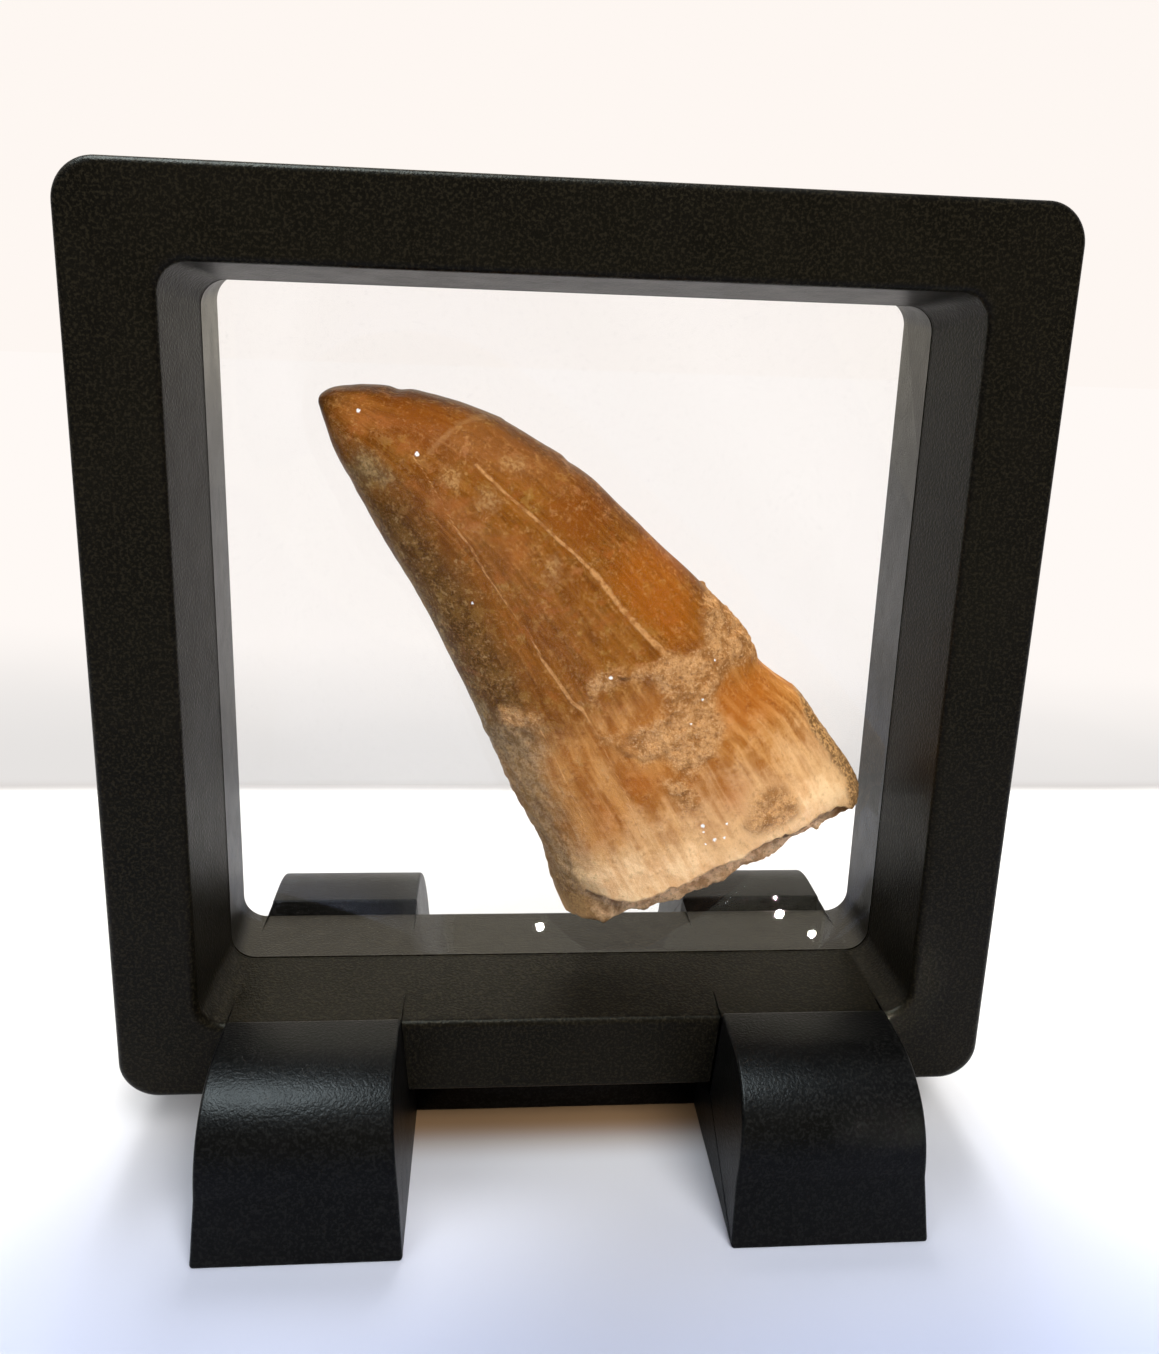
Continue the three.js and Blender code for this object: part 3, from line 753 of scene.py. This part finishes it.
# The fossil's colours in layers: amber crown, streaked root, each marked area over them, then flecks
# and stains over all. An area's share is a soft step over its kept distance, made ragged by noise.
def fossilFinish():
    f = finishNamed("amberFossil")
    place = f.place()
    along = f.field("along")
    across = f.field("across")
    broken = f.field("broken")
    fibre = f.field("fibre", "Vector")
    grown = {"Vector": place, "Rotation": (0, math.radians(-30.6), 0), "Scale": (0.5, 1.2, 11)}
    hair = f.node("ShaderNodeMapping", {"vector_type": "TEXTURE"}, grown)
    cloud = f.noise(place, 0.1, 3, 0.55) - 0.5
    torn = f.noise(place, 0.42, 5, 0.72) - 0.5
    mottle = f.noise(place, 0.85, 3, 0.66) - 0.5
    fine = f.noise(place, 2.6, 2, 0.75) - 0.5
    dust = f.noise(place, 6.5, 1, 0.6) - 0.5
    streak = f.noise(fibre, 1.0, 3, 0.6) - 0.5
    thread = f.noise(hair, 1.0, 2, 0.6) - 0.5
    fineStreak = f.noise(fibre, 3.2, 1, 0.6) - 0.5

    # How far a place lies inside a marked area, with an edge this soft and this ragged.
    def inside(name, soft, ragged, most=1.0):
        reach = f.field(name) + torn * (ragged * 6) + fine * ragged
        return reach.step(-soft, soft) * most

    crown = f.tones(cloud + torn * 0.3, -0.12, 0.12, paint(124, 68, 8), paint(142, 84, 16))
    crown = f.mix(streak.step(-0.02, 0.14) * 0.5, crown, paint(158, 100, 32))
    crown = f.mix((streak * -1).step(0.02, 0.14) * 0.55, crown, paint(104, 56, 4))
    crown = f.mix(mottle.step(0.0, 0.12) * 0.4, crown, paint(154, 106, 38))
    crown = f.mix(fineStreak.step(0.02, 0.14) * 0.35, crown, paint(166, 112, 50))
    crown = f.mix((fineStreak * -1).step(0.03, 0.14) * 0.3, crown, paint(100, 54, 4))
    crown = f.mix((mottle * -1 + fine * 0.4).step(0.03, 0.16) * 0.4, crown, paint(112, 60, 6))
    crown = f.mix((torn - mottle * 0.5).step(0.04, 0.16) * 0.35, crown, paint(176, 104, 48))
    crown = f.mix(inside("dusty", 1.6, 0.5, 0.55), crown, paint(148, 92, 42))
    crown = f.mix(inside("deep", 1.3, 0.5, 0.65), crown, paint(136, 72, 10))
    patch = f.tones(torn + fine * 0.4, -0.14, 0.16, paint(84, 52, 6), paint(122, 82, 24))
    crown = f.mix(inside("olive", 1.9, 0.6, 0.85), crown, patch)
    lower = 0 - across + torn * 0.5
    keel = lower.step(0.42, 0.86) * along.step(0.03, 0.16) * (1 - along.step(0.58, 0.66))
    patch = f.tones(torn + fine * 0.4, -0.12, 0.14, paint(90, 60, 12), paint(138, 102, 48))
    crown = f.mix(keel * 0.6, crown, patch)
    edge = lower.step(0.82, 0.98) * along.step(0.2, 0.38)
    crown = f.mix(edge * 0.7, crown, f.tones(fine, -0.1, 0.1, paint(122, 96, 58), paint(156, 132, 92)))
    patch = f.tones(mottle + fine, -0.14, 0.14, paint(120, 94, 56), paint(168, 142, 100))
    crown = f.mix(inside("ashy", 1.2, 0.4, 0.85), crown, patch)
    crown = f.mix(inside("blush", 1.2, 0.7, 0.38), crown, paint(182, 112, 54))
    crown = f.mix((1 - along + torn * 0.1).step(0.935, 0.99) * 0.75, crown, paint(86, 48, 8))
    upper = across + torn * 0.3 - along.step(0.02, 0.24) * 0.1
    crown = f.mix(upper.step(0.74, 0.92) * 0.7, crown, paint(84, 46, 4))
    patches = f.noise(place, 0.5, 5, 0.76) - 0.5
    patch = f.tones(cloud, -0.06, 0.06, paint(186, 128, 80), paint(168, 128, 60))
    crown = f.mix(patches.step(0.05, 0.11) * 0.4, crown, patch)
    patch = f.tones(fine, -0.1, 0.1, paint(160, 112, 62), paint(198, 156, 106))
    crown = f.mix(inside("pale", 0.7, 0.4, 0.6), crown, patch)
    tipEdge = 1 - (f.field("tipLine") + torn).step(0.02, 0.42)
    crown = f.mix(tipEdge * 0.32, crown, paint(196, 150, 100))
    crown = f.mix(1.0, crown, paint(241, 238, 229), "MULTIPLY")

    root = f.tones(streak + cloud + torn * 0.4, -0.12, 0.14, paint(160, 98, 34), paint(196, 138, 74))
    low = (along + torn * 0.22 + thread * 0.1 + across * 0.02).step(0.8, 0.985)
    combed = (cloud.step(-0.1, 0.12) * 0.2 + 0.05) * (1 - low * 0.6)
    root = f.mix(thread.step(0.02, 0.2) * combed, root, paint(228, 176, 116))
    root = f.mix((thread * -1).step(0.04, 0.22) * combed, root, paint(156, 90, 24))
    root = f.mix((torn + cloud).step(0.02, 0.2) * 0.4, root, paint(214, 160, 104))
    root = f.mix(low * 0.75, root, paint(240, 196, 142))
    colour = f.mix((along + mottle * 0.05 + thread * 0.04).step(0.64, 0.71), crown, root)
    colour = f.mix(inside("warm", 1.8, 0.6, 0.4), colour, paint(176, 92, 10))
    patch = f.tones(fine + mottle, -0.16, 0.16, paint(132, 108, 70), paint(176, 152, 116))
    colour = f.mix(inside("crust", 2.2, 0.7, 0.7), colour, patch)
    patch = f.tones(torn + thread * 0.4, -0.16, 0.16, paint(232, 180, 126), paint(252, 214, 162))
    colour = f.mix(inside("cream", 1.3, 0.6, 0.85), colour, patch)
    patch = f.tones(mottle + fine, -0.14, 0.14, paint(96, 64, 24), paint(152, 116, 68))
    colour = f.mix(inside("umber", 1.6, 0.5, 0.7), colour, patch)
    grit = inside("grit", 0.7, 0.45)
    sand = f.tones(torn + mottle, -0.16, 0.12, paint(152, 102, 52), paint(200, 150, 96))
    sand = f.mix((fine + dust * 0.6).step(0.04, 0.22) * 0.5, sand, paint(236, 198, 152))
    sand = f.mix((fine * -1 + dust * 0.6).step(0.06, 0.22) * 0.55, sand, paint(108, 68, 30))
    colour = f.mix(grit * 0.85, colour, sand)
    rim = inside("rim", 0.4, 0.3, 0.85)
    patch = f.tones(fine + mottle * 0.5, -0.1, 0.12, paint(96, 64, 30), paint(196, 152, 98))
    colour = f.mix(rim, colour, patch)
    line = 1 - (f.field("crack") + torn * 2.2 + fine * 1.6).step(0.5, 1.4)
    colour = f.mix(line * (mottle.step(-0.1, 0.06) * 0.5 + 0.22), colour, paint(212, 158, 100))
    stone = f.tones(mottle, -0.1, 0.12, paint(250, 206, 156), paint(214, 164, 116))
    stone = f.mix(fine.step(0.04, 0.14) * 0.4, stone, paint(110, 74, 38))
    # The broken face's outer ring is cream towards one side and dark brown towards the other; the dark
    # part is a painted shadow line where the rim meets the break.
    lip = f.tones(across + torn, -0.2, 0.3, paint(236, 192, 142), paint(112, 74, 38))
    stone = f.mix((1 - f.field("inward") + torn * 0.2).step(0.84, 0.98), stone, lip)
    stone = f.mix((0 - across + torn).step(0.5, 0.8) * 0.85, stone, paint(112, 78, 38))
    colour = f.mix(broken, colour, stone)

    # Worn specks in ragged islands, thicker by the crown's lower edge, then fine stains, grains and
    # painted glints.
    islands = f.noise(place, 1.6, 3, 0.8) - 0.5
    worn = islands.step(0.075, 0.11) * (torn * 1.6 - across * 0.5 - along * 0.3).step(0.0, 0.3)
    colour = f.mix(worn * 0.6, colour, paint(176, 142, 92))
    stain = (mottle - fine * 0.6).step(0.05, 0.22) * 0.34
    colour = f.mix(stain, colour, paint(176, 148, 116), "MULTIPLY")
    colour = f.mix((fine + mottle * 0.5).step(0.04, 0.22) * 0.25, colour, paint(206, 156, 98))
    flat = f.place((1, 0, 1))
    front = (f.part(place, 1) * -1).step(1, 2)
    # Painted glints: white spots on the tooth's front side, not lit by any lamp.
    for x, z, size in marks["paintedGlints"]:
        spot = (x, 0, z + frameSet["lift"])
        away = f.node("ShaderNodeVectorMath", {"operation": "DISTANCE"}, {0: flat, 1: spot}, "Value")
        colour = f.mix((1 - (away + dust * 0.3).step(size * 0.5, size)) * front, colour, (1, 1, 1, 1))
    rough = 0.44 + grit * 0.25 + broken * 0.25 + along.step(0.65, 0.8) * 0.08 + fine * 0.3
    height = fine * 0.5 + mottle * (0.5 + grit * 1.4 + rim * 1.2 + broken * 0.8)
    height = height + dust * grit * 0.6 + thread * along.step(0.62, 0.8) * 0.3 - line * 0.25
    return f.close(f.node("ShaderNodeBsdfPrincipled", {}, {
        "Base Color": colour,
        "Roughness": rough,
        "Specular IOR Level": 0.08,
        "Normal": f.bump(height, 0.16),
    }))


toothPoints = makeTooth(fossilFinish())
print("tooth made")

# Each film is held in the parting gap of the frame and stretched over the tooth.
film = {
    "reach": 36.9, "window": 35.8, "corner": 2.5, "thickness": 0.1, "rest": 0.02, "clear": 0.28,
    "cells": 184, "passes": 900,
}


# The film lies on the tooth and is drawn straight elsewhere: each height moves to the mean of its four
# neighbours, but never under the tooth's own height there, and outside the window it lies at rest.
def filmHeights(side):
    s = film
    heights = None
    for cells in (s["cells"] // 4, s["cells"] // 2, s["cells"]):
        size = cells + 1
        step = 2 * s["reach"] / cells
        across = np.clip(np.rint((toothPoints[:, 0] + s["reach"]) / step).astype(int), 2, size - 3)
        up = toothPoints[:, 2] - rail["side"] / 2
        up = np.clip(np.rint((up + s["reach"]) / step).astype(int), 2, size - 3)
        floor = np.full((size, size), s["rest"])
        np.maximum.at(floor, (up, across), side * toothPoints[:, 1] + s["clear"])
        floor = np.max([np.roll(floor, (a, b), (0, 1)) for a in (-1, 0, 1) for b in (-1, 0, 1)], axis=0)
        past = np.abs(np.linspace(-s["reach"], s["reach"], size)) - s["window"] + s["corner"]
        u, v = np.meshgrid(past, past)
        beyond = np.hypot(np.maximum(u, 0), np.maximum(v, 0)) + np.minimum(np.maximum(u, v), 0)
        held = beyond > s["corner"]
        floor[held] = s["rest"]
        if heights is None:
            heights = floor.copy()
        else:
            old = np.linspace(0, 1, heights.shape[0])
            new = np.linspace(0, 1, size)
            heights = np.array([np.interp(new, old, row) for row in heights])
            heights = np.array([np.interp(new, old, row) for row in heights.T]).T
        for _ in range(s["passes"]):
            mean = heights.copy()
            upright = heights[:-2, 1:-1] + heights[2:, 1:-1]
            level = heights[1:-1, :-2] + heights[1:-1, 2:]
            mean[1:-1, 1:-1] = (upright + level) / 4
            heights = np.where(held, s["rest"], np.maximum(mean, floor))
    return heights


# One film: the relaxed sheet, the same sheet one thickness further out and a rim between them.
def makeFilm(name, side, replaced, finish):
    s = film
    heights = filmHeights(side)
    size = len(heights)
    line = np.linspace(-s["reach"], s["reach"], size)
    x, z = np.meshgrid(line, line)
    z = z + rail["side"] / 2
    sheets = [np.stack([x, side * (heights + out), z], -1) for out in (0, s["thickness"])]
    points = np.concatenate([sheet.reshape(-1, 3) for sheet in sheets])
    inner = gridFaces(size, size, turned=side < 0)
    outer = gridFaces(size, size, start=size * size, turned=side > 0)
    k = np.arange(size)
    back = k[:0:-1]
    border = np.concatenate([k[:-1], k[:-1] * size + size - 1, size * (size - 1) + back, back * size])
    ahead = np.roll(border, -1)
    rim = np.stack([border, ahead, ahead + size * size, border + size * size], axis=-1)
    if side > 0:
        rim = rim[:, ::-1]
    placed = points + [0, frameSet["back"], frameSet["lift"]]
    piece = makePiece(name, placed, [inner, outer, rim], finish)
    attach(piece, "root")
    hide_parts(replaced)
    return piece


# Clear film: nearly all light passes, a little is mirrored, and fine dust lies on it. The rear film
# shows its hollow side and mirrors more of the room than the front film, which lies close on the tooth.
def filmFinish(name, mirror, most):
    f = finishNamed(name)
    place = f.place()
    dust = f.noise(place, 2.4, 1, 0.6)
    clear = f.node("ShaderNodeBsdfTransparent", {}, {"Color": (0.995, 0.995, 0.995, 1)})
    gloss = f.node("ShaderNodeBsdfGlossy", {}, {"Color": (1, 1, 1, 1), "Roughness": 0.03})
    haze = f.node("ShaderNodeBsdfDiffuse", {}, {"Color": paint(226, 222, 212)})
    shine = f.node("ShaderNodeFresnel", {}, {"IOR": 1.3})
    glossy = f.node("ShaderNodeMixShader", {}, {0: (shine * mirror).least(most), 1: clear, 2: gloss})
    dusty = dust.step(0.55, 0.9) * 0.02 + 0.001
    return f.close(f.node("ShaderNodeMixShader", {}, {0: dusty, 1: glossy, 2: haze}))


makeFilm("frontFilm", -1, "film_front", filmFinish("clearFilm", 0.25, 0.04))
makeFilm("rearFilm", 1, "film_rear", filmFinish("clearFilmRear", 0.85, 0.08))
print("films made")

room = {"tableEnd": 82, "tableBlend": 2.5, "floorHalf": 3000}


# The table is pale and a little bluer towards the near side. Past its far edge the same sheet stands
# for the bright wall behind, which gives its own light.
def makeFloor():
    f = finishNamed("paleTable")
    place = f.place()
    x = f.part(place, 0)
    y = f.part(place, 1)
    cloth = f.noise(place, 0.02, 1) - 0.5
    colour = f.mix((y + cloth * 20).step(-60, 10), paint(168, 180, 214), paint(222, 221, 220))
    # Painted shade: a dark band on the table in front of the frame, which the frame's lower faces
    # mirror; farther out the table turns pale again.
    colour = f.mix((y * -1).step(45, 140), colour, paint(92, 94, 102))
    colour = f.mix((y * -1).step(100, 200), colour, paint(204, 207, 214))
    # Painted shadow: a warm brown patch on the table under the frame, where the frame shades it.
    paintedShadowUnderFrame = (x.math("ABSOLUTE") * -1).step(-34, -24) * (y.math("ABSOLUTE") * -1).step(-16, -9)
    colour = f.mix(paintedShadowUnderFrame * 0.9, colour, paint(116, 78, 4))
    table = f.node("ShaderNodeBsdfPrincipled", {}, {
        "Base Color": colour, "Roughness": 0.7 + cloth * 0.1, "Specular IOR Level": 0.25,
    })
    # Painted shade: the wall's glow is darker towards its foot and darkest in a narrow strip at the
    # crease with the table.
    wallToneWithPaintedShade = f.mix((y + x * 0.12 + cloth * 30).step(80, 190), paint(230, 227, 225), paint(255, 249, 245))
    wallToneWithPaintedShade = f.mix((y * -1).step(-88, -80), wallToneWithPaintedShade, paint(214, 208, 204))
    wall = f.node("ShaderNodeEmission", {}, {"Color": wallToneWithPaintedShade, "Strength": 1.0})
    end, blend = room["tableEnd"], room["tableBlend"]
    split = (y + cloth * 2).step(end - blend, end + blend)
    h = room["floorHalf"]
    points = np.array([[-h, -h, 0], [h, -h, 0], [h, h, 0], [-h, h, 0]], float)
    finish = f.close(f.node("ShaderNodeMixShader", {}, {0: split, 1: table, 2: wall}))
    makePiece("paleFloor", points, [np.array([[0, 1, 2, 3]])], finish)


# Each lamp is a disk. A mirrored one shows only as a reflection, any other only lights what it meets.
def makeLight(name, place, target, size, power, colour, spread, mirrored=False):
    lamp = bpy.data.lights.new(name, "AREA")
    lamp.shape = "DISK"
    lamp.size = size
    lamp.energy = power
    lamp.color = colour
    lamp.spread = math.radians(spread)
    light = bpy.data.objects.new(name, lamp)
    light.location = place
    away = np.array(place) - np.array(target)
    light.rotation_euler = Vector(away.tolist()).to_track_quat("Z", "Y").to_euler()
    light.visible_glossy = mirrored
    light.visible_diffuse = not mirrored
    light.visible_camera = False
    bpy.context.collection.objects.link(light)


# Soft glow from all round: dim from the camera's side, bright from the wall's side and pale above.
def makeRoom():
    world = bpy.data.worlds.new("softRoom")
    bpy.context.scene.world = world
    f = Finish(world)
    way = f.node("ShaderNodeTexCoord", output="Generated")
    y = f.part(way, 1)
    z = f.part(way, 2)
    glow = f.mix(y.step(-0.2, 0.5), (0.05, 0.045, 0.035, 1), (0.85, 0.82, 0.78, 1))
    glow = f.mix(z.step(0.5, 1.0), glow, (0.32, 0.34, 0.38, 1))
    seen = f.node("ShaderNodeBackground", {}, {0: paint(254, 247, 242), 1: 1.0})
    felt = f.node("ShaderNodeBackground", {}, {0: glow, 1: 1.0})
    straight = f.node("ShaderNodeLightPath", output="Is Camera Ray")
    both = f.node("ShaderNodeMixShader", {}, {0: straight, 1: felt, 2: seen})
    f.node("ShaderNodeOutputWorld", {}, {0: both})


makeFloor()
makeRoom()

lamps = {
    "softKey": {
        "place": (0.22, -0.5, 0.6), "target": (0, 0, 0.05), "size": 0.45, "power": 1.65,
        "colour": (1.0, 0.98, 0.95), "spread": 90,
    },
    "softFill": {
        "place": (-0.5, -0.4, 0.4), "target": (0, 0, 0.05), "size": 0.5, "power": 0.45,
        "colour": (0.97, 0.98, 1.0), "spread": 90,
    },
    "softBack": {
        "place": (0, 0.45, 0.75), "target": (0, 0.06, 0), "size": 0.5, "power": 1.7,
        "colour": (1.0, 0.99, 0.97), "spread": 70,
    },
    "skyPanel": {
        "place": (-0.25, -0.1, 0.8), "target": (0, 0, 0.03), "size": 0.5, "power": 4.8,
        "colour": (0.8, 0.93, 1.0), "spread": 90, "mirrored": True,
    },
    "frontPanel": {
        "place": (0.05, -0.45, 0.17), "target": (0, 0, 0.09), "size": 0.7, "power": 0.6,
        "colour": (1.0, 0.93, 0.7), "spread": 180, "mirrored": True,
    },
    "rearPanel": {
        "place": (0, 0.7, 0.38), "target": (0, 0, 0.02), "size": 0.8, "power": 1.3,
        "colour": (1.0, 0.88, 0.64), "spread": 180, "mirrored": True,
    },
}
for name, settings in lamps.items():
    makeLight(name, **settings)

# Small lamps that glint in the rear film: place, the spot that each one faces, and size. Their power
# grows with the disk, so all are equally bright.
smallLamps = {
    "brightness": 6.5,
    "alike": {"colour": (1.0, 0.97, 0.88), "spread": 4, "mirrored": True},
    "lamps": [
        ((0.0404, -0.1282, 0.0813), (-0.0019, 0.001, 0.0177), 0.012),
        ((0.0215, -0.1391, 0.0719), (0.0258, 0.0012, 0.0188), 0.0095),
        ((0.0483, -0.1485, 0.0276), (0.0295, 0.0, 0.0168), 0.0155),
        ((0.0039, -0.1344, 0.0787), (0.0255, 0.0021, 0.0205), 0.0026),
    ],
}
for number, (place, target, size) in enumerate(smallLamps["lamps"], 1):
    power = smallLamps["brightness"] * size**2
    makeLight("smallLamp%d" % number, place, target, size, power, **smallLamps["alike"])
print("floor and lights made")
